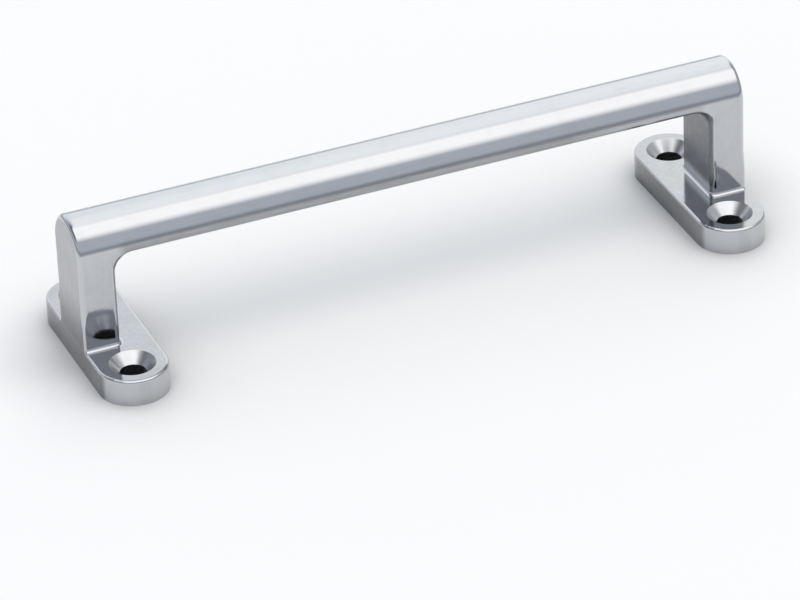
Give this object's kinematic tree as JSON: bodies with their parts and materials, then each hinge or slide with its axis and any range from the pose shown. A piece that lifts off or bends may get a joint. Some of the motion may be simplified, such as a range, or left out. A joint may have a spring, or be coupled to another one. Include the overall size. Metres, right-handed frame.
{
  "type": "bar handle",
  "caption": "Straight half-round bar handle in one polished casting, on two flat posts with countersunk foot plates that lie across the bar.",
  "frame": {"origin": "on the mounting surface, midway between the two feet and midway across the bar", "axes": "+X along the bar, +Y across it, +Z away from the mounting surface towards the crown of the bar"},
  "size_m": [0.15, 0.045, 0.034],
  "materials": {
    "polished_metal": "mirror polished"
  },
  "bodies": {
    "root": {"handle": "polished_metal"}
  },
  "joints": []
}
